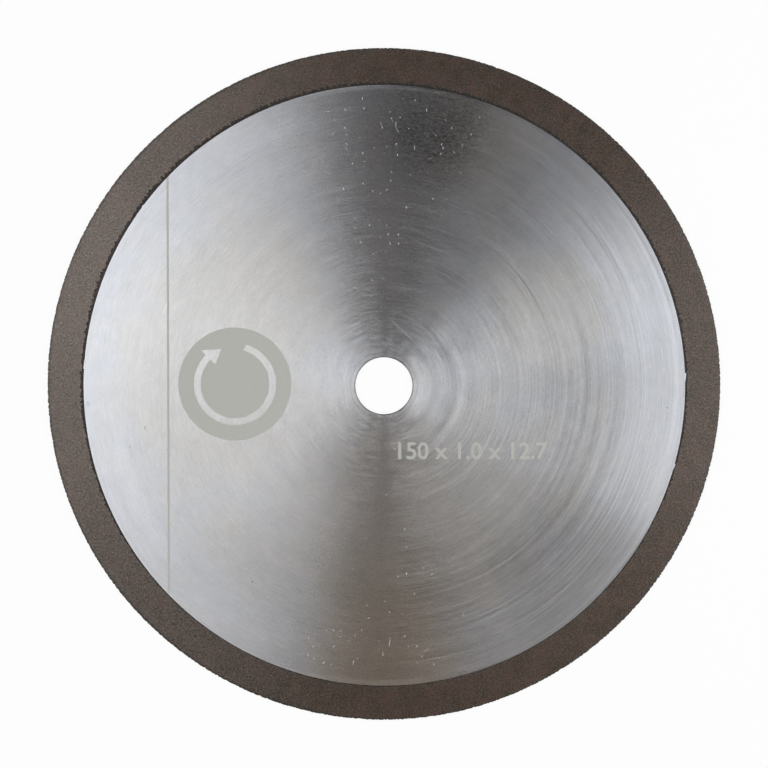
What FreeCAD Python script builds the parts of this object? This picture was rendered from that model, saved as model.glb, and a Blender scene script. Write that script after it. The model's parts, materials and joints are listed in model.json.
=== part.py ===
import FreeCAD, Part
import math
import os

# Diamond cut-off wheel for a precision saw: a thin ground steel core disc, and a rim of resin
# filled with diamond grit that is moulded round the core's edge.
# The wheel lies flat, with its axis along Z. The origin is on the axis, in the middle of the
# wheel's thickness, so that both flanks are alike.

# Driving sizes, in millimetres
wheel_diameter = 150.0
rim_depth = 8.0                 # from the edge of the steel face out to the cutting edge
rim_thickness = 1.0             # width of the cut
core_thickness = 0.8            # thinner than the rim, so that the core runs clear in the cut
bore_diameter = 12.7
bore_chamfer = 0.12
cutting_edge_radius = 0.1       # dressed corners of the rim

# Tongue round the core's edge, gripped by the groove moulded in the rim
tongue_length = 1.6
tongue_root_thickness = 0.44
tongue_tip_thickness = 0.26

# Shallow seam beside the steel face, where the side grinding of the rim stops short and the
# skin of the resin stays as it was moulded
seam_width = 0.3
seam_depth = 0.08               # below the steel face
seam_slope_width = 0.12         # run of the slope up to the ground flank

wheel_radius = wheel_diameter / 2
core_radius = wheel_radius - rim_depth
bore_radius = bore_diameter / 2
tongue_radius = core_radius + tongue_length
half_rim = rim_thickness / 2
half_core = core_thickness / 2
half_root = tongue_root_thickness / 2
half_tip = tongue_tip_thickness / 2
wheel_axis = FreeCAD.Vector(0, 0, 1)
wheel_centre = FreeCAD.Vector(0, 0, 0)
full_turn = 360


def section_point(radius, height):
    """A point of the half section, in the XZ plane."""
    return FreeCAD.Vector(radius, 0, height)


def both_flanks(upper_half):
    """Closes a half section: the upper flank's points, then the same points mirrored below."""
    lower_half = [(radius, -height) for radius, height in reversed(upper_half)]
    return [section_point(radius, height) for radius, height in upper_half + lower_half]


def turned(section):
    """The solid that a closed section makes when it is turned round the wheel's axis."""
    face = Part.Face(Part.makePolygon(section + section[:1]))
    return face.revolve(wheel_centre, wheel_axis, full_turn)


def corner_circles(solid, radius, half_thickness):
    """The two circular edges of a solid that lie at this radius on its two flanks."""
    def lies_there(edge):
        if not isinstance(edge.Curve, Part.Circle):
            return False
        same_radius = math.isclose(edge.Curve.Radius, radius, abs_tol=1e-6)
        return same_radius and math.isclose(abs(edge.Curve.Center.z), half_thickness, abs_tol=1e-6)
    return [edge for edge in solid.Edges if lies_there(edge)]


def tongue_line():
    """Upper half of the joint, from the foot of the core's shoulder out to the tongue's tip."""
    return [(core_radius, half_root), (tongue_radius, half_tip)]


def make_steel_core():
    """Ground disc with a chamfered bore, a square shoulder and a tapered tongue round its edge."""
    upper_half = [(bore_radius, half_core), (core_radius, half_core)] + tongue_line()
    core = turned(both_flanks(upper_half))
    return core.makeChamfer(bore_chamfer, corner_circles(core, bore_radius, half_core))


def make_diamond_rim(core):
    """Resin ring with two ground flanks, the seam beside the steel, and the groove for the tongue."""
    seam_floor = half_core - seam_depth
    upper_half = [
        (core_radius, seam_floor),
        (core_radius + seam_width - seam_slope_width, seam_floor),
        (core_radius + seam_width, half_rim),
        (wheel_radius, half_rim),
    ]
    ring = turned(both_flanks(upper_half))
    ring = ring.makeFillet(cutting_edge_radius, corner_circles(ring, wheel_radius, half_rim))
    return ring.cut(core)


steel_core = make_steel_core()
diamond_rim = make_diamond_rim(steel_core)

os.makedirs("parts", exist_ok=True)
for name, shape in {"steel_core": steel_core, "diamond_rim": diamond_rim}.items():
    solid = shape.Solids[0]
    solid.exportStep(f"parts/{name}.step")
    print(name, "valid", shape.isValid(), "solids", len(shape.Solids), "faces", len(shape.Faces),
          "volume", round(shape.Volume, 3), "mm3")
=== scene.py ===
import bpy
import json
import math
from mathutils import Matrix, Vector


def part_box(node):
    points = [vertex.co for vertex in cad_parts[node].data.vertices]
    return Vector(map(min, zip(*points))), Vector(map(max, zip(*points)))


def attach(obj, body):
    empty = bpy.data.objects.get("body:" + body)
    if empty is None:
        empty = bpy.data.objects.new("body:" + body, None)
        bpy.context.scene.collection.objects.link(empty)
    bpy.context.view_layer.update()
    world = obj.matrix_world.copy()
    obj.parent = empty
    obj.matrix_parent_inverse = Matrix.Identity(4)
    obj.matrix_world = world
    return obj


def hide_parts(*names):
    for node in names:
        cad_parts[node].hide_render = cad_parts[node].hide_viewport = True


# A diamond cut-off wheel lying flat on a pale table: a ground steel core, and round its edge a
# rim of brown resin full of diamond grit. +Y is the top of the marked face.

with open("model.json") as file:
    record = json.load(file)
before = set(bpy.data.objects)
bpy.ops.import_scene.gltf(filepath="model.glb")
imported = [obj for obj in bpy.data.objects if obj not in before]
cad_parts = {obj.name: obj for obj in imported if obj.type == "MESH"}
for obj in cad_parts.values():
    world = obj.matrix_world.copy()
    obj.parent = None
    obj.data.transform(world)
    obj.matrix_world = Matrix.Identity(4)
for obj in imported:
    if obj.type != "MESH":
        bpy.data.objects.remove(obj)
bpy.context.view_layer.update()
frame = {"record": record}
scene = bpy.context.scene
scene.view_settings.view_transform = "Standard"

mm = 0.001
perMetre = 1000.0  # turns the shaders' metres into millimetres
rootBody = "root"
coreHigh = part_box("steel_core")[1]
rimLow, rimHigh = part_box("diamond_rim")
arbor = next(mount for mount in frame["record"]["mounts"] if mount["name"] == "arbor_bore")

wheel = {
    "radius": rimHigh.x,  # out to the cutting edge
    "rimHalf": rimHigh.z,  # half the width of cut
    "coreHalf": coreHigh.z,  # half the thickness of the steel
    "tongueRadius": coreHigh.x,  # the steel's tongue ends inside the rim
    "tongueRootHalf": 0.22 * mm,
    "tongueTipHalf": 0.13 * mm,
    "boreRadius": arbor["dims"]["r_mm"] * mm,
    "rimDepth": 8.0 * mm,  # from the edge of the steel face to the cutting edge
    "offCentre": 0.24 * mm,  # the rim was moulded this far off the steel's centre
    "offCentreSide": math.radians(-67),
}
faceRadius = wheel["radius"] - wheel["rimDepth"]


# Small helpers for shader and geometry trees

def isSocket(value):
    return isinstance(value, bpy.types.NodeSocket)


def feed(socket, value):
    if isSocket(value):
        socket.id_data.links.new(value, socket)
    else:
        socket.default_value = value


def feedAll(node, inputs):
    # Inputs by name or by number
    for name, value in inputs.items():
        feed(node.inputs[name], value)


def addNode(kind, settings=None, inputs=None, tree=None):
    # Goes into the tree of its inputs, so a tree is named only where no input is linked
    inputs = inputs or {}
    tree = tree or next(value.id_data for value in inputs.values() if isSocket(value))
    node = tree.nodes.new(kind)
    for name, value in (settings or {}).items():
        setattr(node, name, value)
    feedAll(node, inputs)
    return node


def calc(operation, *values):
    inputs = dict(enumerate(values))
    return addNode("ShaderNodeMath", {"operation": operation}, inputs).outputs[0]


def vectorCalc(operation, *values, result=0):
    inputs = dict(enumerate(values))
    node = addNode("ShaderNodeVectorMath", {"operation": operation}, inputs)
    return node.outputs[result]


def times(first, second):
    return calc("MULTIPLY", first, second)


def over(first, second):
    return calc("DIVIDE", first, second)


def plus(first, second):
    return calc("ADD", first, second)


def minus(first, second):
    return calc("SUBTRACT", first, second)


def mulAdd(first, second, third):
    return calc("MULTIPLY_ADD", first, second, third)


def remap(value, low, high, toLow=0.0, toHigh=1.0):
    inputs = dict(enumerate((value, low, high, toLow, toHigh)))
    settings = {"interpolation_type": "SMOOTHSTEP"}
    return addNode("ShaderNodeMapRange", settings, inputs).outputs[0]


def vectorOf(x, y, z=0.0):
    return addNode("ShaderNodeCombineXYZ", inputs={"X": x, "Y": y, "Z": z}).outputs[0]


def axesOf(vector):
    return addNode("ShaderNodeSeparateXYZ", inputs={"Vector": vector}).outputs


def noiseAt(vector, scale, detail=2.0, roughness=0.5):
    inputs = {"Vector": vector, "Scale": scale, "Detail": detail, "Roughness": roughness}
    return addNode("ShaderNodeTexNoise", inputs=inputs).outputs[0]


def mixColour(share, first, second, blend="MIX"):
    settings = {"data_type": "RGBA", "blend_type": blend}
    inputs = {0: share, 6: first, 7: second}
    return addNode("ShaderNodeMix", settings, inputs).outputs[2]


def mixVector(share, first, second):
    inputs = {0: share, 4: first, 5: second}
    return addNode("ShaderNodeMix", {"data_type": "VECTOR"}, inputs).outputs[1]


def grey(level):
    return (level, level, level, 1.0)


def openMaterial(name):
    material = bpy.data.materials.new(name)
    material.use_nodes = True
    tree = material.node_tree
    tree.nodes.clear()
    shader = tree.nodes.new("ShaderNodeBsdfPrincipled")
    addNode("ShaderNodeOutputMaterial", inputs={"Surface": shader.outputs[0]})
    place = tree.nodes.new("ShaderNodeTexCoord").outputs["Object"]
    return material, shader, [times(axis, perMetre) for axis in axesOf(place)]


def radiusFrom(x, y):
    return calc("SQRT", mulAdd(x, x, times(y, y)))


# Materials, whose shaders measure in millimetres

boreEdge = wheel["boreRadius"] / mm
faceEdge = faceRadius / mm
rimEdge = wheel["radius"] / mm
flankTop = wheel["rimHalf"] / mm
nearZero = 0.001  # nothing is divided by a radius under this

steel = {
    "warm": (0.565, 0.549, 0.539, 1.0),
    "cool": (0.540, 0.545, 0.572, 1.0),
    # Parts of the face with a warmer tint: x, y and reach in mm
    "warmSpots": [(-42.0, 4.0, 32.0), (8.0, -34.0, 31.0), (-30.0, 21.0, 28.0),
                  (36.0, 16.0, 20.0), (20.0, 54.0, 18.0)],
    "warmCore": 5.0,  # mm round the middle of such a part that are fully warm
    "tintDrift": 1.6,  # how far slow noise moves the tint
    "tintLines": 0.8,  # and how far the grinding does
    "roughness": 0.279,
    "roughSwing": 0.012,
    "anisotropic": 1.0,  # ground in circles, so the gloss spreads along the radius
    "strayCentre": 26.0,  # mm, how far the centres of the finest lines wander
    "hairLean": 0.46,  # how far a hair line leans off its circle
    "collarLean": 1.012,  # and how much further just inside the edge of the face
    "lean": 0.21,  # how far a visible line leans
    "crossedLean": 0.063,  # and one that crosses the others
    "scoreLean": 0.20,  # and a deep one
    "bumpDepth": 0.000004,
    "fineRelief": 0.5,  # height of the fine lines beside that of the streaks
    # Noise drawn out along circles: lines per mm across them, arcs round them, seed, detail,
    # and a centre where it isn't the bore's
    "lines": {
        "streaks": (2.6, 0.7, 0.0, 2.0),
        "fine": (5.5, 1.6, 3.0, 1.0),
        "dashes": (4.0, 22.0, 5.0, 1.0),
        "bands": (0.35, 1.3, 7.0, 2.0),
        "crossed": (2.4, 1.2, 13.0, 2.0, (1.5, -1.0)),
        "scores": (1.8, 0.9, 31.0, 1.0),
        "heavy": (2.8, 0.6, 43.0, 2.0),
        "smudges": (3.2, 45.0, 37.0, 3.0),
        "tints": (0.5, 2.0, 51.0, 2.0),
        "hairX": (41.0, 3.0, 19.0, 0.0),
        "hairY": (47.0, 3.5, 23.0, 0.0),
        "hairSlant": (43.0, 2.5, 29.0, 0.0),
    },
    # Noise that follows no circle: scale per mm, detail, roughness
    "noises": {
        "grain": (2.6, 2.0, 0.7),
        "clouds": (0.26, 4.0, 0.6),
        "specks": (1.2, 4.0, 0.75),
        "drift": (0.10, 1.0, 0.5),
    },
    "wipeScales": (0.16, 1.3),  # the face was wiped aslant: scales along and across
    "wipeNoise": (1.0, 3.0, 0.6),
    # How far each of them moves the tone, and how much further in the dark fan
    "contrast": {"bands": 0.16, "streaks": 0.12, "fine": 0.34, "heavy": 0.55, "specks": 0.9,
                 "clouds": 0.16, "wiped": 0.10},
    "fanContrast": {"dashes": (0.24, 0.10), "grain": (0.25, 0.55)},
    # Change of tone where each of these is full; the two at the bore are painted shade
    "changes": {"smudges": -0.30, "dulled": -0.20, "boreEdge": -0.46, "boreShadeRing": -0.10},
    "markedWay": (0.98, -0.17),  # the grinding shows most toward this side
    "scoredWay": (0.80, -0.60),  # and the heavy lines only toward this one
    # Where something begins to show and where it is full, then its shares there if not 0 and 1
    "fades": {
        "marked": (0.20, 0.95, 0.25, 1.0),
        "scores": (0.60, 0.72),
        "scoredSide": (0.87, 0.99),
        "scoredRadius": (43.0, 50.0),
        "inFan": (0.5, 0.25),
        "collar": (faceEdge - 1.5, faceEdge - 0.9),
        "tickEdge": (65.0, 63.5),
        "tickRadius": (12.0, 48.0, 0.3, 1.0),
        "stain": (21.0, 6.0),
        "smudges": (0.38, 0.62, 0.60, 1.0),
        "dulled": (60.0, 46.0),
        "ringSide": (0.25, 0.80),
        "ringClouds": (0.35, 0.60, 0.45, 0.85),
        "boreEdge": (boreEdge + 0.45, boreEdge + 0.10),
        "coolOutward": (40.0, 60.0),
        "coolUpward": (-10.0, 12.0, 0.4, 0.95),
    },
    # Painted shade in a ring just outside the bore
    "boreShadeRing": (boreEdge + 1.1, 0.30, 0.05),  # its radius, and the reach of its shade
    # Short scratches across the grain, from and to, in mm
    "strokes": [
        ((1.6, 59.6), (2.0, 58.6)), ((2.7, 58.6), (2.6, 57.5)), ((2.6, 57.5), (3.2, 56.4)),
        ((-0.8, 58.4), (-0.3, 57.2)), ((13.1, 53.2), (13.1, 52.5)), ((6.8, 53.3), (6.8, 52.5)),
        ((10.1, 50.3), (10.8, 50.9)), ((9.5, 61.6), (9.5, 60.9)), ((-8.4, 53.1), (-8.2, 52.3)),
        ((1.4, -57.0), (1.1, -58.4)), ((-0.3, -59.6), (-0.2, -60.4)),
        ((-6.7, -61.5), (-7.0, -62.6)), ((9.0, -59.6), (10.1, -58.9)),
        ((17.9, -50.6), (17.6, -51.8)), ((1.8, 14.5), (8.0, 8.5))],
    "strokeHalf": 0.038,  # half a scratch's width
    "strokeFade": (1.4, 0.5),  # its soft edge, outer and inner, as shares of that
    "ticks": (2.0, 3.0, 0.52),  # cell in mm, seed, share of the cells that have one
    "tickTone": 0.85,
    "tickMix": 0.7,
    "stain": (11.0, 59.5),  # darker smudges near the edge, in mm
    # Painted highlights and painted shade on the face, and grooves: the direction from the bore and
    # the angle either side of it, the radius and the reach either side of it in mm, the change
    "paintedLightPatches": [(-45, 21, 57.0, 24.0, -0.25), (-88, 28, 24.0, 27.0, 0.17),
                (-10, 23, 45.0, 45.0, -0.15), (67, 25, 40.0, 60.0, -0.22),
                (-130, 28, 36.0, 24.0, 0.12), (178, 45, 66.0, 20.0, 0.03),
                (127, 13, 58.95, 0.15, -0.13), (124, 10, 57.50, 0.13, -0.08),
                (180, 80, 67.2, 0.5, -0.14), (0, 62, 8.0, 5.5, 0.24), (180, 40, 8.0, 5.0, 0.06),
                (-95, 30, 8.5, 5.0, -0.12), (-90, 9, 40.0, 13.0, 0.10),
                (-38, 20, 27.0, 10.0, -0.06), (12, 48, 65.4, 1.2, 0.10),
                (-122, 14, 61.0, 8.0, 0.07), (-95, 25, 65.0, 5.0, -0.06),
                (115, 14, 62.0, 7.0, 0.07), (79, 12, 58.0, 13.0, -0.12),
                (60, 9, 57.0, 10.0, -0.07), (90, 10, 28.0, 14.0, 0.07)],
    # Rings that the grinding left on the right: radius and half width in mm, change
    "rings": [(8.3, 1.1, 0.08), (10.8, 1.3, -0.11), (12.9, 0.9, 0.05), (15.5, 1.3, -0.11),
              (17.5, 1.1, 0.14), (19.7, 0.9, -0.05), (26.0, 0.7, 0.06), (35.4, 0.7, 0.07),
              (40.4, 0.7, 0.05), (45.2, 0.8, -0.06), (51.8, 0.8, -0.07), (54.3, 0.7, 0.08),
              (57.2, 0.6, -0.06), (58.5, 0.5, 0.06), (63.1, 0.7, -0.07)],
    # Painted warm reflection: the lower face tinted brown
    "warmReflection": (-90, 19, 62.0, 40.0),  # a part of the same kind as the patches
    "brown": (0.595, 0.54, 0.485, 1.0),  # and its colour
    # Small dark spots: x, y and radius in mm, and how dark
    "spots": [(-29.4, -43.9, 0.2, 0.8), (63.1, -4.9, 0.2, 0.6), (-66.0, -4.0, 0.8, 0.12),
              (-53.3, -9.2, 0.22, 0.5), (-53.2, -9.6, 0.22, 0.4), (-56.6, -13.6, 0.3, 0.3)],
    "spotCore": 0.5,  # share of its radius where a spot is fully dark
}

tickShape = {  # measured in cells
    "bend": 1.2,
    "shortestHalf": 0.045,
    "longerHalf": 0.085,  # how much more the longest has
    "width": (0.046, 0.018),  # distance off its line where a tick begins and is full
    "faintest": 0.15,
}


def fade(look, name, value):
    return remap(value, *look["fades"][name])


def distanceFrom(x, y, spot):
    return radiusFrom(minus(x, spot[0]), minus(y, spot[1]))


def nearRadius(radius, middle, reach, full=0.0):
    off = calc("ABSOLUTE", minus(radius, middle))
    return remap(off, reach, full)


def toward(ux, uy, way):
    return mulAdd(ux, way[0], times(uy, way[1]))


def sideShare(ux, uy, side, spread):
    # 1 in a direction from the bore, falling to 0 at an angle either side of it
    angle = math.radians(side)
    facing = toward(ux, uy, (math.cos(angle), math.sin(angle)))
    return remap(facing, math.cos(math.radians(spread)), 1.0)


def circleLines(x, y, lines, arcs, seed, detail, centre=(0.0, 0.0)):
    dx = minus(x, centre[0])
    dy = minus(y, centre[1])
    radius = calc("MAXIMUM", radiusFrom(dx, dy), nearZero)
    across = times(radius, lines)
    along = mulAdd(over(dx, radius), arcs, seed)
    aside = times(over(dy, radius), arcs)
    return noiseAt(vectorOf(across, along, aside), 1.0, detail, 0.6)


def swing(value, amount, base=0.0):
    # A noise value as plus or minus half an amount round the base
    return mulAdd(minus(value, 0.5), amount, base)


def scratchField(x, y, cell, seed, share):
    # One short tick in some of the cells of a Voronoi pattern, each turned its own way
    flat = vectorOf(over(x, cell), over(y, cell), seed)
    settings = {"voronoi_dimensions": "3D", "feature": "F1"}
    cells = addNode("ShaderNodeTexVoronoi", settings, {"Vector": flat, "Scale": 1.0})
    local = vectorCalc("SUBTRACT", flat, cells.outputs["Position"])
    dx, dy = axesOf(local)[:2]
    chance = addNode("ShaderNodeSeparateColor", inputs={"Color": cells.outputs["Color"]})
    turn, length, luck = chance.outputs
    angle = times(turn, math.pi)
    cosine, sine = calc("COSINE", angle), calc("SINE", angle)
    u = mulAdd(dx, cosine, times(dy, sine))
    v = minus(times(dy, cosine), times(dx, sine))
    bent = mulAdd(times(u, u), tickShape["bend"], v)
    inWidth = remap(calc("ABSOLUTE", bent), *tickShape["width"])
    halfLength = mulAdd(length, tickShape["longerHalf"], tickShape["shortestHalf"])
    inLength = calc("LESS_THAN", calc("ABSOLUTE", u), halfLength)
    present = times(calc("LESS_THAN", luck, share),
                    remap(length, 0.0, 1.0, tickShape["faintest"], 1.0))
    mask = times(times(inLength, inWidth), present)
    return mask, vectorOf(times(sine, -1.0), cosine)


def buildStrokeGroup():
    # Share of a scratch from one point to another at the shaded point
    tree = bpy.data.node_groups.new("scratchStroke", "ShaderNodeTree")
    for label, kind in (("Point", "Vector"), ("From", "Vector"), ("To", "Vector"),
                        ("Half Width", "Float")):
        tree.interface.new_socket(label, in_out="INPUT", socket_type="NodeSocket" + kind)
    tree.interface.new_socket("Share", in_out="OUTPUT", socket_type="NodeSocketFloat")
    given = tree.nodes.new("NodeGroupInput").outputs
    output = tree.nodes.new("NodeGroupOutput")

    away = vectorCalc("SUBTRACT", given["Point"], given["From"])
    run = vectorCalc("SUBTRACT", given["To"], given["From"])
    share = over(vectorCalc("DOT_PRODUCT", away, run, result=1),
                 vectorCalc("DOT_PRODUCT", run, run, result=1))
    held = addNode("ShaderNodeClamp", inputs={"Value": share}).outputs[0]
    foot = addNode("ShaderNodeVectorMath", {"operation": "SCALE"}, {0: run, "Scale": held})
    apart = vectorCalc("DISTANCE", away, foot.outputs[0], result=1)
    outer, inner = (times(given["Half Width"], edge) for edge in steel["strokeFade"])
    feed(output.inputs[0], remap(apart, outer, inner))
    return tree


def steelFields(x, y, z):
    # What the rest of the shader starts from: the place on the face, the noises and their shares
    radius = calc("MAXIMUM", radiusFrom(x, y), nearZero)
    at = {"x": x, "y": y, "radius": radius, "point": vectorOf(x, y)}
    at["ux"], at["uy"] = over(x, radius), over(y, radius)
    at["upper"] = calc("GREATER_THAN", z, 0.0)
    for name, numbers in steel["lines"].items():
        at[name] = circleLines(x, y, *numbers)
    for name, numbers in steel["noises"].items():
        at[name] = noiseAt(at["point"], *numbers)
    alongWipe, acrossWipe = steel["wipeScales"]
    slanted = vectorOf(times(plus(x, y), alongWipe), times(minus(x, y), acrossWipe))
    at["wiped"] = noiseAt(slanted, *steel["wipeNoise"])

    marked = toward(at["ux"], at["uy"], steel["markedWay"])
    at["marked"] = fade(steel, "marked", marked)
    at["scores"] = times(fade(steel, "scores", at["scores"]), times(at["marked"], at["marked"]))
    scored = toward(at["ux"], at["uy"], steel["scoredWay"])
    at["scored"] = times(fade(steel, "scoredSide", scored), fade(steel, "scoredRadius", radius))
    at["inFan"] = fade(steel, "inFan", calc("ABSOLUTE", at["ux"]))
    stain = fade(steel, "stain", distanceFrom(x, y, steel["stain"]))
    at["stain"] = times(stain, at["upper"])
    return at


def steelGrain(at):
    # Every hair line has a centre of its own near the bore, and the visible lines lean
    lean = times(swing(at["streaks"], steel["lean"]), at["marked"])
    lean = plus(lean, swing(at["crossed"], steel["crossedLean"]))
    lean = mulAdd(at["scores"], steel["scoreLean"], lean)
    hairLean = mulAdd(fade(steel, "collar", at["radius"]), steel["collarLean"], steel["hairLean"])
    lean = plus(lean, swing(at["hairSlant"], hairLean))
    towardX = swing(at["hairX"], steel["strayCentre"], at["x"])
    towardY = swing(at["hairY"], steel["strayCentre"], at["y"])
    alongX = minus(towardX, times(towardY, lean))
    alongY = mulAdd(towardX, lean, towardY)
    return vectorCalc("NORMALIZE", vectorOf(alongX, alongY))


def steelScratches(at, tangent):
    # Ticks show where the face is dark, above and below the bore; each turns the grain its way
    ticks, across = scratchField(at["x"], at["y"], *steel["ticks"])
    for share in (fade(steel, "tickEdge", at["radius"]), at["inFan"],
                  fade(steel, "tickRadius", at["radius"])):
        ticks = times(ticks, share)
    tangent = mixVector(ticks, tangent, across)
    strokeGroup = buildStrokeGroup()
    for start, end in steel["strokes"]:
        stroke = addNode("ShaderNodeGroup", {"node_tree": strokeGroup}, {
            "Point": at["point"], "From": (*start, 0.0), "To": (*end, 0.0),
            "Half Width": steel["strokeHalf"]})
        way = (Vector(end) - Vector(start)).normalized()
        tangent = mixVector(stroke.outputs[0], tangent, (-way.y, way.x, 0.0))
        ticks = calc("MAXIMUM", ticks, stroke.outputs[0])
    return ticks, tangent


# Share of a patch of painted light or shade: one side of the bore and a ring round it, upper face
# only
def paintedLightAt(at, side, spread, middle, reach):
    share = times(sideShare(at["ux"], at["uy"], side, spread),
                  nearRadius(at["radius"], middle, reach))
    return times(share, at["upper"])


def steelTone(at):
    contrast, changes = steel["contrast"], steel["changes"]
    tone = swing(at["bands"], contrast["bands"], 1.0)
    for name, share in (("streaks", "marked"), ("fine", "marked"), ("heavy", "scored"),
                        ("specks", "stain")):
        tone = mulAdd(swing(at[name], contrast[name]), at[share], tone)
    for name in ("clouds", "wiped"):
        tone = swing(at[name], contrast[name], tone)
    for name, (plain, more) in steel["fanContrast"].items():
        tone = swing(at[name], mulAdd(at["inFan"], more, plain), tone)
    smudges = times(at["stain"], fade(steel, "smudges", at["smudges"]))
    tone = mulAdd(smudges, changes["smudges"], tone)
    dulled = times(fade(steel, "dulled", at["radius"]), at["marked"])
    tone = mulAdd(dulled, changes["dulled"], tone)

    # Painted highlights and painted shade, one patch after another
    for *patch, change in steel["paintedLightPatches"]:
        tone = mulAdd(paintedLightAt(at, *patch), change, tone)
    ringed = times(fade(steel, "ringSide", at["ux"]), fade(steel, "ringClouds", at["clouds"]))
    for middle, half, change in steel["rings"]:
        ring = times(nearRadius(at["radius"], middle, half), ringed)
        tone = mulAdd(ring, change, tone)
    for *spot, reach, dark in steel["spots"]:
        apart = distanceFrom(at["x"], at["y"], spot)
        share = times(remap(apart, reach, steel["spotCore"] * reach), at["upper"])
        tone = times(tone, mulAdd(share, -dark, 1.0))
    # Painted shade at the bore's edge and in a ring just outside it
    boreShade = fade(steel, "boreEdge", at["radius"])
    tone = mulAdd(boreShade, changes["boreEdge"], tone)
    shadeRing = nearRadius(at["radius"], *steel["boreShadeRing"])
    return mulAdd(shadeRing, changes["boreShadeRing"], tone)


def steelTint(at):
    # Cool round the edge and in the upper half, warm in spots, and a painted warm reflection in
    # brown below
    cool = calc("MAXIMUM", fade(steel, "coolOutward", at["radius"]),
                fade(steel, "coolUpward", at["y"]))
    for *spot, reach in steel["warmSpots"]:
        apart = distanceFrom(at["x"], at["y"], spot)
        cool = minus(cool, remap(apart, reach, steel["warmCore"]))
    cool = swing(at["drift"], steel["tintDrift"], cool)
    cool = swing(at["tints"], steel["tintLines"], cool)
    cool = addNode("ShaderNodeClamp", inputs={"Value": cool}).outputs[0]
    colour = mixColour(cool, steel["warm"], steel["cool"])
    return mixColour(paintedLightAt(at, *steel["warmReflection"]), colour, steel["brown"])


def bumped(height, depth):
    return addNode("ShaderNodeBump", inputs={
        "Strength": 1.0, "Distance": depth, "Height": height}).outputs[0]


def makeGroundSteel():
    material, shader, place = openMaterial("groundSteel")
    at = steelFields(*place)
    ticks, tangent = steelScratches(at, steelGrain(at))
    colour = mixColour(1.0, steelTint(at), steelTone(at), "MULTIPLY")
    colour = mixColour(times(ticks, steel["tickMix"]), colour, grey(steel["tickTone"]))
    relief = mulAdd(at["fine"], steel["fineRelief"], at["streaks"])
    feedAll(shader, {
        "Base Color": colour, "Metallic": 1.0, "Anisotropic": steel["anisotropic"],
        "Roughness": swing(at["bands"], steel["roughSwing"], steel["roughness"]),
        "Normal": bumped(relief, steel["bumpDepth"]), "Tangent": tangent})
    return material


resin = {
    "flank": (0.050, 0.0315, 0.022, 1.0),
    "brown": (0.057, 0.032, 0.026, 1.0),  # blotches
    "green": (0.036, 0.034, 0.027, 1.0),  # greyer tint along both edges of the flank and in patches
    # The seam's unground skin, painted near-black partly as shade in the recess
    "skin": (0.007, 0.006, 0.005, 1.0),  # moulded skin left in the seam
    "gloss": (1.0, 0.885, 0.81, 1.0),  # the resin tints what it reflects
    "shine": 1.08,
    "shineSwing": 2.5,
    "leastShine": 0.1,
    "roughness": 0.31,
    "roughSwing": 0.9,
    "outerRough": 0.2,  # rougher by this at the cutting edge
    "skinRough": 0.55,  # and by this in the seam
    "anisotropic": 0.86,
    "pitDepth": 0.000014,
    "innerTint": 0.6,  # share of the greyer tint beside the steel
    "outerTone": -0.4,  # change of tone at the cutting edge
    "seamReach": faceEdge + 1.5,  # the seam ends inside this radius
    "noises": {  # scale per mm, detail, roughness
        "speckle": (2.4, 2.0, 0.7),
        "grains": (6.0, 1.0, 0.6),
        "pits": (2.1, 1.0, 0.5),
        "blotch": (0.28, 3.0, 0.6),
        "olive": (0.7, 2.0, 0.6),
    },
    # How far each of them moves the tone
    "contrast": {"speckle": 1.0, "blotch": 1.2, "grains": 1.0},
    "fades": {  # given like the steel's
        "inner": (faceEdge + 1.3, faceEdge + 0.6),
        "outer": (rimEdge - 0.8, rimEdge - 0.3),
        "blotch": (0.35, 0.65, 0.0, 0.6),
        "olive": (0.50, 0.64, 0.0, 0.6),
        "low": (flankTop - 0.03, flankTop - 0.07),
    },
    # Painted highlight and painted shade round the rim: direction, angle either side of it, change
    "paintedLightPatches": [(-127, 42, -0.22), (160, 22, 0.12), (88, 25, 0.06)],
}


def makeRimResin():
    material, shader, (x, y, z) = openMaterial("rimResin")
    radius = calc("MAXIMUM", radiusFrom(x, y), nearZero)
    ux, uy = over(x, radius), over(y, radius)
    place = vectorOf(x, y, z)
    noises = {name: noiseAt(place, *numbers) for name, numbers in resin["noises"].items()}

    inner, outer = (fade(resin, name, radius) for name in ("inner", "outer"))
    tint = calc("MAXIMUM", times(inner, resin["innerTint"]), outer)
    colour = mixColour(tint, resin["flank"], resin["green"])
    for name, patchColour in (("blotch", "brown"), ("olive", "green")):
        share = fade(resin, name, noises[name])
        colour = mixColour(share, colour, resin[patchColour])
    tone = mulAdd(outer, resin["outerTone"], 1.0)
    for name, amount in resin["contrast"].items():
        tone = swing(noises[name], amount, tone)
    shine = swing(noises["speckle"], resin["shineSwing"], resin["shine"])
    # Painted highlight and painted shade in the tone, and the same change in the shine
    for side, spread, change in resin["paintedLightPatches"]:
        share = sideShare(ux, uy, side, spread)
        tone = mulAdd(share, change, tone)
        shine = mulAdd(share, change, shine)
    colour = mixColour(1.0, colour, tone, "MULTIPLY")

    # The seam's floor lies lower than the ground flank, and only there is the resin black: its
    # unground skin, darkened further as painted shade in the recess
    low = fade(resin, "low", calc("ABSOLUTE", z))
    beside = calc("LESS_THAN", radius, resin["seamReach"])
    skinAndShadeShare = times(low, beside)
    rough = swing(noises["grains"], resin["roughSwing"], resin["roughness"])
    for share, more in ((outer, "outerRough"), (skinAndShadeShare, "skinRough")):
        rough = mulAdd(share, resin[more], rough)
    feedAll(shader, {
        "Base Color": mixColour(skinAndShadeShare, colour, resin["skin"]), "Roughness": rough,
        "Specular IOR Level": calc("MAXIMUM", shine, resin["leastShine"]),
        "Specular Tint": resin["gloss"], "Anisotropic": resin["anisotropic"],
        "Normal": bumped(noises["pits"], resin["pitDepth"]),
        "Tangent": vectorOf(ux, uy)})
    return material


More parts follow.
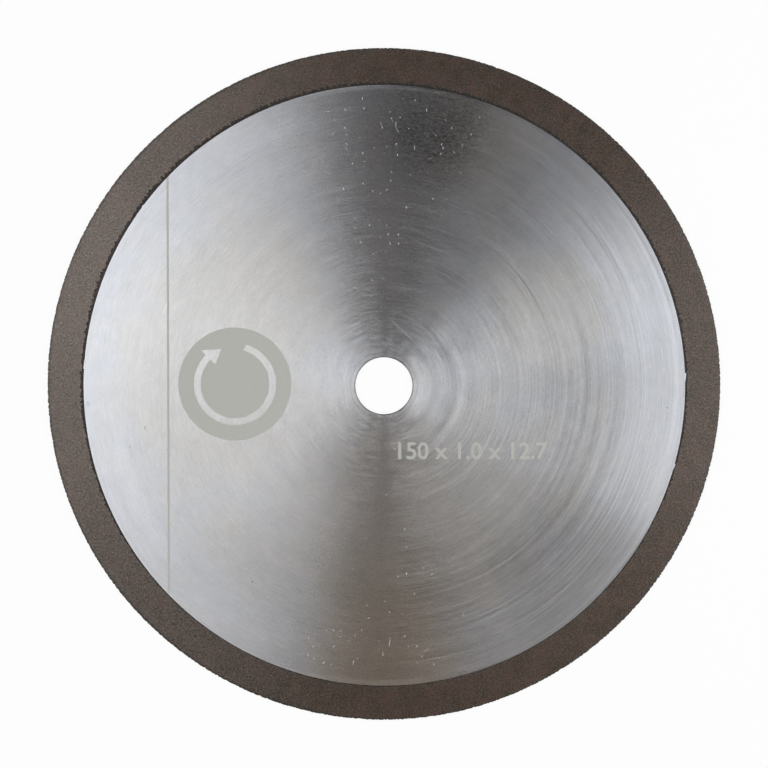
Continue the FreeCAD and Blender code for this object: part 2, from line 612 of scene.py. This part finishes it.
grain = {
    "dark": (0.05, 0.045, 0.035, 1.0),
    "light": (0.15, 0.14, 0.11, 1.0),
    "noise": (3.0, 0.0),  # scale per mm, detail
    "fades": {"light": (0.35, 0.65)},
    "roughness": 0.35,
}


def makeDiamondGrain():
    material, shader, place = openMaterial("diamondGrain")
    speckle = noiseAt(vectorOf(*place), *grain["noise"])
    colour = mixColour(fade(grain, "light", speckle), grain["dark"], grain["light"])
    feedAll(shader, {"Base Color": colour, "Roughness": grain["roughness"]})
    return material


etching = {
    "colour": (0.51, 0.51, 0.47, 1.0),
    "frost": (3.0, 2.0, 0.6),  # scale per mm, detail, roughness
    "frostSwing": 0.25,
    "roughness": 0.75,
}


def makeEtchedGrey():
    material, shader, place = openMaterial("etchedGrey")
    frost = noiseAt(vectorOf(*place[:2]), *etching["frost"])
    tone = swing(frost, etching["frostSwing"], 1.0)
    colour = mixColour(1.0, etching["colour"], tone, "MULTIPLY")
    feedAll(shader, {"Base Color": colour, "Roughness": etching["roughness"]})
    return material


groundSteel = makeGroundSteel()
rimResin = makeRimResin()
diamondGrain = makeDiamondGrain()
etchedGrey = makeEtchedGrey()
print("materials: ground steel, rim resin, diamond grain, etched grey")


# Pieces

def polar(radius, angle):
    return radius * math.cos(angle), radius * math.sin(angle)


def addPiece(name, mesh, material=None):
    piece = bpy.data.objects.new(name, mesh)
    scene.collection.objects.link(piece)
    if material:
        mesh.materials.append(material)
    return piece


def openTree(name, inputs):
    tree = bpy.data.node_groups.new(name, "GeometryNodeTree")
    for label, kind in inputs:
        tree.interface.new_socket(label, in_out="INPUT", socket_type="NodeSocket" + kind)
    tree.interface.new_socket("Result", in_out="OUTPUT", socket_type="NodeSocketGeometry")
    return tree, tree.nodes.new("NodeGroupInput").outputs, tree.nodes.new("NodeGroupOutput")


def runTree(piece, tree, values):
    # Sets the named inputs, then keeps the result as a plain mesh
    modifier = piece.modifiers.new(tree.name, "NODES")
    modifier.node_group = tree
    sockets = {item.name: item.identifier for item in tree.interface.items_tree}
    for label, value in values.items():
        modifier[sockets[label]] = value
    evaluated = piece.evaluated_get(bpy.context.evaluated_depsgraph_get())
    result = bpy.data.meshes.new_from_object(evaluated)
    piece.modifiers.clear()
    piece.data = result
    return piece


# The steel core

coreSizes = {
    "segments": 2160,
    "boreChamfer": 0.12 * mm,
    "edgeBreak": 0.20 * mm,  # worn corner of the face, which catches a line of light
    "edgeDrop": 0.012 * mm,
    "burrRoot": 1.5 * mm,  # how far inside the edge the burrs begin
    # Burrs left on the edge by grinding: angle, how far out, and how long they taper back
    "burrs": [(2.4, 0.34 * mm, 2.2 * mm), (-15.1, 0.28 * mm, 1.5 * mm),
              (143.4, 0.22 * mm, 0.6 * mm), (176.8, 0.18 * mm, 2.6 * mm)],
}


def shiftAt(angle):
    # How much further out the steel's edge lies on this side, as the rim sits off its centre
    return wheel["offCentre"] * math.cos(angle - wheel["offCentreSide"])


def burrAt(angle):
    burr = 0.0
    for start, height, length in coreSizes["burrs"]:
        back = (math.radians(start) - angle) % (2 * math.pi) * faceRadius
        if back < length:
            burr = max(burr, height * (1 - back / length))
    return burr


def mirrorBelow(half):
    return half + [(radius, -height, share) for radius, height, share in reversed(half)]


def makeSteelCore():
    bore, top = wheel["boreRadius"], wheel["coreHalf"]
    chamfer = coreSizes["boreChamfer"]
    outline = mirrorBelow([  # radius, height, share of the burrs
        (bore, 0.0, 0), (bore, top - chamfer, 0), (bore + chamfer, top, 0),
        (faceRadius - coreSizes["burrRoot"], top, 0), (faceRadius - coreSizes["edgeBreak"], top, 1),
        (faceRadius, top - coreSizes["edgeDrop"], 1), (faceRadius, wheel["tongueRootHalf"], 1),
        (wheel["tongueRadius"], wheel["tongueTipHalf"], 0)])
    outline.pop()  # the bore's middle point is in both halves
    count, segments = len(outline), coreSizes["segments"]
    points, faces = [], []
    for step in range(segments):
        angle = 2 * math.pi * step / segments
        reach = shiftAt(angle) + burrAt(angle), shiftAt(angle)  # of the upper and lower edge
        for radius, height, share in outline:
            out = radius + share * reach[height < 0]
            points.append((*polar(out, angle), height))
        first, second = step * count, (step + 1) % segments * count
        for row in range(count):
            after = (row + 1) % count
            faces.append((first + row, first + after, second + after, second + row))
    mesh = bpy.data.meshes.new("steelCore")
    mesh.from_pydata(points, [], faces)
    core = addPiece("steelCore", mesh, groundSteel)
    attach(core, rootBody)
    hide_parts("steel_core")
    return core


steelCore = makeSteelCore()
print("steel core:", len(steelCore.data.polygons), "faces")


# The diamond rim

rimSizes = {
    "segments": 2200,
    "seamWidth": 0.40 * mm,  # mean width of the dark seam beside the steel
    "seamSwing": 0.36 * mm,  # the rim was ground a little off centre,
    "swingSide": math.radians(102),  # so the seam is widest at the top
    "seamWave": 0.14 * mm,  # and slightly oval
    "waveSide": math.radians(-8),
    "narrowest": 0.15 * mm,
    "widest": 1.35 * mm,
    "raggedness": 2.0 * mm,
    "seamFloor": 0.10 * mm,  # below the steel face
    "grainHeight": 0.02 * mm,  # the grit stands this far out of the resin
    "cornerRadius": 0.10 * mm,
    "wallRoughness": 1.5 * mm,
    "seamProfile": (0.68, 0.90),  # shares of its width where its floor and its slope end
    "seamWallFoot": 0.06 * mm,  # the slope rises this far
    "seamWallTop": 0.03 * mm,  # the wall ends this far under the flank,
    "seamBevel": 0.06 * mm,  # and a bevel this wide leads up to it
    "flankRows": (1.6, 3.0, 5.0, 6.6, 7.4),  # mm from the steel to the flank's rows of points
    "cornerAngles": (90, 60, 30, 0),
    "wallRows": (0.26, 0.13),  # mm above the middle, rows of the cutting edge
    "seamNoise": 9.0,  # how fine each noise is round the wheel
    "raggedNoise": 105.0,
    "wallNoise": 150.0,
    "wallNoiseUp": 3000.0,  # and up the cutting edge, per metre
    "moreDents": 0.08,
    "raggedWhere": (0.6, 0.4),  # more ragged where the seam is wide: by its width, and always
    "hairWidth": 0.03 * mm,  # the seam never closes further than this
    "weldWithin": 0.002 * mm,
    "lowerTurn": 2.1,  # the lower flank's seam is turned by this angle,
    "lowerSeed": 5.0,  # and its noises have another seed
    "seed": 11.0,
}


def rimOutline():
    # radius, height, share of the seam's width, of the wall's roughness, of the off-centre shift
    nominal = rimSizes["seamWidth"]
    flank = wheel["rimHalf"] - rimSizes["grainHeight"]
    outer = wheel["radius"] - rimSizes["grainHeight"]
    corner = rimSizes["cornerRadius"]
    floor = wheel["coreHalf"] - rimSizes["seamFloor"]
    foot, wall = rimSizes["seamProfile"]
    half = [(wheel["tongueRadius"], wheel["tongueTipHalf"], 0, 0, 0),
            (faceRadius, wheel["tongueRootHalf"], 0, 0, 1), (faceRadius, floor, 0, 0, 1),
            (faceRadius + foot * nominal, floor, foot, 0, 1),
            (faceRadius + wall * nominal, floor + rimSizes["seamWallFoot"], wall, 0, 1),
            (faceRadius + nominal, flank - rimSizes["seamWallTop"], 1, 0, 1),
            (faceRadius + nominal + rimSizes["seamBevel"], flank, 1, 0, 1)]
    half += [(faceRadius + row * mm, flank, 0, 0, 0) for row in rimSizes["flankRows"]]
    for turnBack in rimSizes["cornerAngles"]:
        angle = math.radians(turnBack)
        half.append((outer - corner + corner * math.cos(angle),
                     flank - corner + corner * math.sin(angle), 0, 1, 0))
    half += [(outer, height * mm, 0, 1, 0) for height in rimSizes["wallRows"]]
    return half + [(point[0], -point[1], *point[2:]) for point in reversed(half)]


# The inputs of the rim's tree, and the sizes that they take
rimInputs = {"Seam Width": "seamWidth", "Seam Swing": "seamSwing", "Swing Side": "swingSide",
             "Seam Wave": "seamWave", "Wave Side": "waveSide", "Narrowest": "narrowest",
             "Widest": "widest", "Raggedness": "raggedness",
             "Wall Roughness": "wallRoughness", "Seed": "seed"}


def buildRimTree():
    sizes = [*rimInputs, "Off Centre", "Off Centre Side"]
    tree, given, output = openTree("turnedRim", [("Section", "Geometry"), ("Segments", "Int")] +
                                   [(label, "Float") for label in sizes])
    section = given["Section"]
    count = addNode("GeometryNodeAttributeDomainSize", inputs={"Geometry": section})
    rows = plus(count.outputs["Point Count"], 1.0)
    grid = addNode("GeometryNodeMeshGrid", inputs={
        "Vertices X": plus(given["Segments"], 1.0), "Vertices Y": rows})
    index = tree.nodes.new("GeometryNodeInputIndex").outputs[0]
    column = calc("FLOOR", over(plus(index, 0.5), rows))
    row = minus(index, times(column, rows))
    row = calc("MODULO", row, count.outputs["Point Count"])
    angle = times(over(column, given["Segments"]), 2 * math.pi)

    def fromSection(field, kind):
        inputs = {"Geometry": section, "Index": row}
        node = addNode("GeometryNodeSampleIndex", {"data_type": kind}, inputs)
        feed(node.inputs["Value"], field)
        return node.outputs[0]

    def named(label):
        settings = {"data_type": "FLOAT"}
        node = addNode("GeometryNodeInputNamedAttribute", settings, {"Name": label}, tree)
        return node.outputs[0]

    position = tree.nodes.new("GeometryNodeInputPosition").outputs[0]
    radius, _, height = axesOf(fromSection(position, "FLOAT_VECTOR"))
    seamShare, wallShare, edgeShare = (
        fromSection(named(label), "FLOAT") for label in ("seamShare", "wallShare", "edgeShare"))

    # The lower flank has the same kind of seam with its own seed and its own widest side
    below = calc("LESS_THAN", height, 0.0)
    side = mulAdd(below, rimSizes["lowerTurn"], angle)
    cosine, sine = calc("COSINE", angle), calc("SINE", angle)
    seed = mulAdd(below, rimSizes["lowerSeed"], given["Seed"])

    def noiseRound(frequency, shift):
        along = vectorOf(times(cosine, frequency), times(sine, frequency), shift)
        return minus(noiseAt(along, 1.0, 3.0, 0.75), 0.5)

    tilt = calc("COSINE", minus(side, given["Swing Side"]))
    wave = calc("COSINE", times(minus(side, given["Wave Side"]), 2.0))
    width = mulAdd(tilt, given["Seam Swing"], given["Seam Width"])
    width = mulAdd(wave, given["Seam Wave"], width)
    uneven = noiseRound(rimSizes["seamNoise"], seed)
    width = mulAdd(uneven, given["Seam Swing"], width)
    width = calc("MAXIMUM", width, given["Narrowest"])
    ragged = times(noiseRound(rimSizes["raggedNoise"], seed), given["Raggedness"])
    wide = over(width, given["Seam Width"])
    ragged = times(ragged, mulAdd(wide, *rimSizes["raggedWhere"]))
    width = calc("MAXIMUM", plus(width, ragged), rimSizes["hairWidth"])
    width = calc("MINIMUM", width, given["Widest"])
    grown = times(minus(width, given["Seam Width"]), seamShare)
    radius = plus(radius, grown)
    aside = calc("COSINE", minus(angle, given["Off Centre Side"]))
    aside = times(times(aside, given["Off Centre"]), edgeShare)
    radius = plus(radius, aside)
    upWall = times(height, rimSizes["wallNoiseUp"])
    dent = plus(noiseRound(rimSizes["wallNoise"], upWall), rimSizes["moreDents"])
    dent = times(calc("MAXIMUM", dent, 0.0), given["Wall Roughness"])
    radius = minus(radius, times(dent, wallShare))

    place = vectorOf(times(radius, cosine), times(radius, sine), height)
    turned = addNode("GeometryNodeSetPosition", inputs={
        "Geometry": grid.outputs["Mesh"], "Position": place})
    joined = addNode("GeometryNodeMergeByDistance", inputs={
        "Geometry": turned.outputs[0], "Distance": rimSizes["weldWithin"]})
    real = addNode("GeometryNodeRealizeInstances", inputs={"Geometry": joined.outputs[0]})
    finish = addNode("GeometryNodeSetMaterial", inputs={
        "Geometry": real.outputs[0], "Material": rimResin})
    feed(output.inputs[0], finish.outputs[0])
    return tree


def makeDiamondRim():
    outline = rimOutline()
    section = bpy.data.meshes.new("rimSection")
    section.from_pydata([(point[0], 0.0, point[1]) for point in outline], [], [])
    for label, column in (("seamShare", 2), ("wallShare", 3), ("edgeShare", 4)):
        layer = section.attributes.new(label, "FLOAT", "POINT")
        layer.data.foreach_set("value", [float(item[column]) for item in outline])
    rim = addPiece("diamondRim", section)
    values = {label: rimSizes[name] for label, name in rimInputs.items()}
    runTree(rim, buildRimTree(), {
        **values, "Segments": rimSizes["segments"], "Off Centre": wheel["offCentre"],
        "Off Centre Side": wheel["offCentreSide"]})
    return rim


diamondRim = makeDiamondRim()
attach(diamondRim, rootBody)
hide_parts("diamond_rim")
print("diamond rim:", len(diamondRim.data.polygons), "faces")


# The grit that stands out of the rim

gritSizes = {
    "perSquareMetre": 2.7e6,
    "grainRadius": 0.085 * mm,
    "spread": 0.3,  # grains differ from the mean by this share
    "flankDepth": 0.025 * mm,  # faces no deeper than this are flank or cutting edge
    "wallDepth": 0.3 * mm,
    "seed": 5,
}


def buildGritTree():
    tree, given, output = openTree("rimGrit", [
        ("Rim", "Geometry"), ("Density", "Float"), ("Grain Radius", "Float"), ("Spread", "Float"),
        ("Flank Height", "Float"), ("Wheel Radius", "Float"), ("Seed", "Int")])
    position = tree.nodes.new("GeometryNodeInputPosition").outputs[0]
    spot = axesOf(position)
    fromAxis = radiusFrom(spot[0], spot[1])
    onFlank = calc("GREATER_THAN", calc("ABSOLUTE", spot[2]),
                   minus(given["Flank Height"], gritSizes["flankDepth"]))
    onWall = calc("GREATER_THAN", fromAxis, minus(given["Wheel Radius"], gritSizes["wallDepth"]))
    scatter = addNode("GeometryNodeDistributePointsOnFaces", inputs={
        "Mesh": given["Rim"], "Selection": calc("MAXIMUM", onFlank, onWall),
        "Density": given["Density"], "Seed": given["Seed"]})
    crystal = addNode("GeometryNodeMeshUVSphere", inputs={
        "Segments": 4, "Rings": 2, "Radius": given["Grain Radius"]})
    twist = addNode("FunctionNodeRandomValue", {"data_type": "FLOAT_VECTOR"}, tree=tree)
    feed(twist.inputs[1], (2 * math.pi, 2 * math.pi, 2 * math.pi))
    size = addNode("FunctionNodeRandomValue", {"data_type": "FLOAT"}, tree=tree)
    feed(size.inputs[2], minus(1.0, given["Spread"]))
    feed(size.inputs[3], plus(1.0, given["Spread"]))
    grains = addNode("GeometryNodeInstanceOnPoints", inputs={
        "Points": scatter.outputs["Points"], "Instance": crystal.outputs["Mesh"],
        "Rotation": twist.outputs[0], "Scale": size.outputs[1]})
    real = addNode("GeometryNodeRealizeInstances", inputs={"Geometry": grains.outputs[0]})

    # Grinding has cut every grain flush with the flank and the cutting edge
    height = calc("MINIMUM", spot[2], given["Flank Height"])
    height = calc("MAXIMUM", height, times(given["Flank Height"], -1.0))
    shrink = calc("MINIMUM", over(given["Wheel Radius"], fromAxis), 1.0)
    place = vectorOf(times(spot[0], shrink), times(spot[1], shrink), height)
    ground = addNode("GeometryNodeSetPosition", inputs={
        "Geometry": real.outputs[0], "Position": place})
    finish = addNode("GeometryNodeSetMaterial", inputs={
        "Geometry": ground.outputs[0], "Material": diamondGrain})
    feed(output.inputs[0], finish.outputs[0])
    return tree


def makeRimGrit():
    grit = addPiece("rimGrit", diamondRim.data.copy())
    grit.data.materials.clear()
    return runTree(grit, buildGritTree(), {
        "Density": gritSizes["perSquareMetre"], "Grain Radius": gritSizes["grainRadius"],
        "Spread": gritSizes["spread"], "Flank Height": wheel["rimHalf"],
        "Wheel Radius": wheel["radius"], "Seed": gritSizes["seed"]})


rimGrit = makeRimGrit()
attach(rimGrit, rootBody)
print("rim grit:", len(rimGrit.data.polygons), "faces")


# Marks etched on the upper face

markSizes = {
    "thickness": 0.006 * mm,
    "sunk": 0.002 * mm,
    "stripeAt": -48.05 * mm,  # a plain stripe that runs right across the face
    "stripeWidth": 0.50 * mm,
    "stripeInset": 0.25 * mm,  # its ends stop this far inside the edge
    "roundelAt": (-33.2 * mm, 0.4 * mm),  # roundel with the direction of rotation
    "roundelRadius": 12.6 * mm,
    "arrowRadius": 8.4 * mm,
    "arrowWidth": 1.5 * mm,
    "arrowHead": 2.2 * mm,  # half the head's width
    "arrowTip": 1.6,  # the head's length, in halves of its width
    "arrowFrom": math.radians(75),
    "arrowSweep": math.radians(-300),
    "figuresRight": 36.4 * mm,  # plain size figures, set flush right
    "figuresLine": -16.3 * mm,
    "figuresHeight": 3.6 * mm,
    "capitalShare": 0.69,  # height of a capital beside the font's size
    "figuresBolder": 0.09 * mm,
}


def addMark(name, curve, place=(0.0, 0.0)):
    # A flat curve becomes a thin closed mesh lying on the steel
    curve.fill_mode = "BOTH"
    curve.extrude = (markSizes["thickness"] + markSizes["sunk"]) / 2
    holder = bpy.data.objects.new(name + "Curve", curve)
    scene.collection.objects.link(holder)
    evaluated = holder.evaluated_get(bpy.context.evaluated_depsgraph_get())
    mesh = bpy.data.meshes.new_from_object(evaluated)
    bpy.data.objects.remove(holder)
    lift = wheel["coreHalf"] + (markSizes["thickness"] - markSizes["sunk"]) / 2
    for vertex in mesh.vertices:
        vertex.co += Vector((place[0], place[1], lift))
    mesh.materials.clear()
    mark = addPiece(name, mesh, etchedGrey)
    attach(mark, rootBody)
    return mark


def addLoop(curve, points):
    loop = curve.splines.new("POLY")
    loop.points.add(len(points) - 1)
    for slot, (x, y) in zip(loop.points, points):
        slot.co = (x, y, 0.0, 1.0)
    loop.use_cyclic_u = True


def flatCurve(name):
    curve = bpy.data.curves.new(name, "CURVE")
    curve.dimensions = "2D"
    return curve


def around(radius, start, sweep, steps):
    return [polar(radius, start + sweep * step / steps) for step in range(steps + 1)]


def makeStripe():
    curve = flatCurve("chordStripe")
    left = markSizes["stripeAt"] - markSizes["stripeWidth"] / 2
    right = markSizes["stripeAt"] + markSizes["stripeWidth"] / 2
    reach = faceRadius - markSizes["stripeInset"]
    leftEnd, rightEnd = (math.sqrt(reach ** 2 - x ** 2) for x in (left, right))
    addLoop(curve, [(left, -leftEnd), (right, -rightEnd), (right, rightEnd), (left, leftEnd)])
    return addMark("chordStripe", curve)


def makeRoundel():
    curve = flatCurve("rotationRoundel")
    addLoop(curve, around(markSizes["roundelRadius"], 0.0, 2 * math.pi, 180)[:-1])
    start, sweep = markSizes["arrowFrom"], markSizes["arrowSweep"]
    middle, half = markSizes["arrowRadius"], markSizes["arrowWidth"] / 2
    head = markSizes["arrowHead"]
    end = start + sweep
    tip = end + math.copysign(markSizes["arrowTip"] * head / middle, sweep)
    band = around(middle + half, start, sweep, 90)
    band += [polar(middle + head, end), polar(middle, tip), polar(middle - head, end)]
    band += around(middle - half, end, -sweep, 90)
    addLoop(curve, band)
    return addMark("rotationRoundel", curve, markSizes["roundelAt"])


def makeFigures():
    text = bpy.data.curves.new("sizeFigures", "FONT")
    text.body = "150 x 1.0 x 12.7"
    text.align_x = "RIGHT"
    text.size = markSizes["figuresHeight"] / markSizes["capitalShare"]
    text.offset = markSizes["figuresBolder"]
    return addMark("sizeFigures", text, (markSizes["figuresRight"], markSizes["figuresLine"]))


marks = [makeStripe(), makeRoundel(), makeFigures()]
print("marks:", ", ".join(mark.name for mark in marks))


# Floor, lamps, world and camera

studio = {
    "floorSize": 6.0,
    "floorColour": (0.92, 0.92, 0.92, 1.0),
    "floorGap": 0.03 * mm,
    "floorGlow": 0.93,  # share of pure white in the floor that is seen or mirrored
    "lampColour": (0.95, 0.98, 1.0),
    "cameraDistance": 0.70,
    "cameraTilt": math.radians(3.0),
    "aim": Vector((0.02 * mm, 0.38 * mm, 0.0)),
    "photoWidth": 171.2 * mm,  # what the photograph's width spans at the wheel
    "sensor": 36.0,
    "clip": (0.01, 20.0),
}

surroundings = {  # what the steel reflects, besides the lamps
    "near": (0.275, 0.214, 0.148, 1.0),
    "far": (0.051, 0.074, 0.109, 1.0),
    "nearToFar": (-0.35, 0.12),  # along Y, from one to the other
    "warm": (0.36, 0.30, 0.235, 1.0),
    "warmAt": (0.17, -0.33),
    "warmReach": (0.42, 0.0),
    "whiteHeight": (0.22, 0.06),  # white near the horizon
}


def makeFloor():
    half = studio["floorSize"] / 2
    mesh = bpy.data.meshes.new("floor")
    corners = [(-half, -half), (half, -half), (half, half), (-half, half)]
    height = rimLow.z - studio["floorGap"]
    mesh.from_pydata([(x, y, height) for x, y in corners], [], [(0, 1, 2, 3)])
    material = bpy.data.materials.new("paleFloor")
    material.use_nodes = True
    tree = material.node_tree
    tree.nodes.clear()
    paint = addNode("ShaderNodeBsdfDiffuse", inputs={"Color": studio["floorColour"]}, tree=tree)
    glow = addNode("ShaderNodeEmission", inputs={"Color": grey(1.0), "Strength": 1.0}, tree=tree)
    path = tree.nodes.new("ShaderNodeLightPath").outputs
    mirrored = calc("MAXIMUM", path["Is Glossy Ray"], path["Is Transmission Ray"])
    seen = calc("MAXIMUM", path["Is Camera Ray"], mirrored)
    blend = addNode("ShaderNodeMixShader", inputs={
        0: times(seen, studio["floorGlow"]), 1: paint.outputs[0], 2: glow.outputs[0]})
    clear = tree.nodes.new("ShaderNodeBsdfTransparent")
    back = tree.nodes.new("ShaderNodeNewGeometry").outputs["Backfacing"]
    fromAbove = addNode("ShaderNodeMixShader", inputs={
        0: back, 1: blend.outputs[0], 2: clear.outputs[0]})
    addNode("ShaderNodeOutputMaterial", inputs={"Surface": fromAbove.outputs[0]})
    floor = addPiece("floor", mesh, material)


lamps = {  # side, height, distance, width, depth, brightness
    "leftLamp": (181.0, 56.5, 0.568, 0.69, 0.611, 1.60),
    "upperLeftLamp": (157.0, 58.0, 0.568, 0.26, 0.50, 0.52),
    "rightLamp": (1.0, 38.8, 0.349, 0.262, 0.322, 2.30),
}


def makeLamps():
    for name, (side, height, distance, width, depth, brightness) in lamps.items():
        light = bpy.data.lights.new(name, "AREA")
        light.shape = "RECTANGLE"
        light.color = studio["lampColour"]
        light.size, light.size_y = width, depth
        light.energy = math.pi * width * depth * brightness
        lamp = bpy.data.objects.new(name, light)
        scene.collection.objects.link(lamp)
        turn, up = math.radians(side), math.radians(height)
        away = Vector((math.cos(turn) * math.cos(up), math.sin(turn) * math.cos(up), math.sin(up)))
        lamp.location = away * distance
        lamp.rotation_euler = away.to_track_quat("Z", "Y").to_euler()
        lamp.visible_camera = False


def makeWorld():
    world = bpy.data.worlds.new("studio")
    world.use_nodes = True
    scene.world = world
    tree = world.node_tree
    tree.nodes.clear()
    path = tree.nodes.new("ShaderNodeLightPath").outputs
    place = tree.nodes.new("ShaderNodeTexCoord").outputs["Generated"]
    axes = axesOf(place)
    dim = mixColour(remap(axes[1], *surroundings["nearToFar"]),
                    surroundings["near"], surroundings["far"])
    apart = distanceFrom(axes[0], axes[1], surroundings["warmAt"])
    dim = mixColour(remap(apart, *surroundings["warmReach"]), dim, surroundings["warm"])
    bright = remap(axes[2], *surroundings["whiteHeight"])
    colour = mixColour(bright, dim, grey(1.0))
    colour = mixColour(path["Is Camera Ray"], colour, grey(1.0))
    sky = addNode("ShaderNodeBackground", inputs={"Color": colour, "Strength": 1.0})
    addNode("ShaderNodeOutputWorld", inputs={"Surface": sky.outputs[0]})


def makeCamera():
    lens = bpy.data.cameras.new("camera")
    lens.sensor_width = studio["sensor"]
    lens.lens = studio["sensor"] * studio["cameraDistance"] / studio["photoWidth"]
    lens.clip_start, lens.clip_end = studio["clip"]
    camera = bpy.data.objects.new("camera", lens)
    scene.collection.objects.link(camera)
    tilt = studio["cameraTilt"]
    back = Vector((0.0, math.sin(tilt), math.cos(tilt)))
    camera.location = studio["aim"] + back * studio["cameraDistance"]
    camera.rotation_euler = (-tilt, 0.0, 0.0)
    scene.camera = camera


makeFloor()
makeLamps()
makeWorld()
makeCamera()
print("floor, lamps, world and camera")
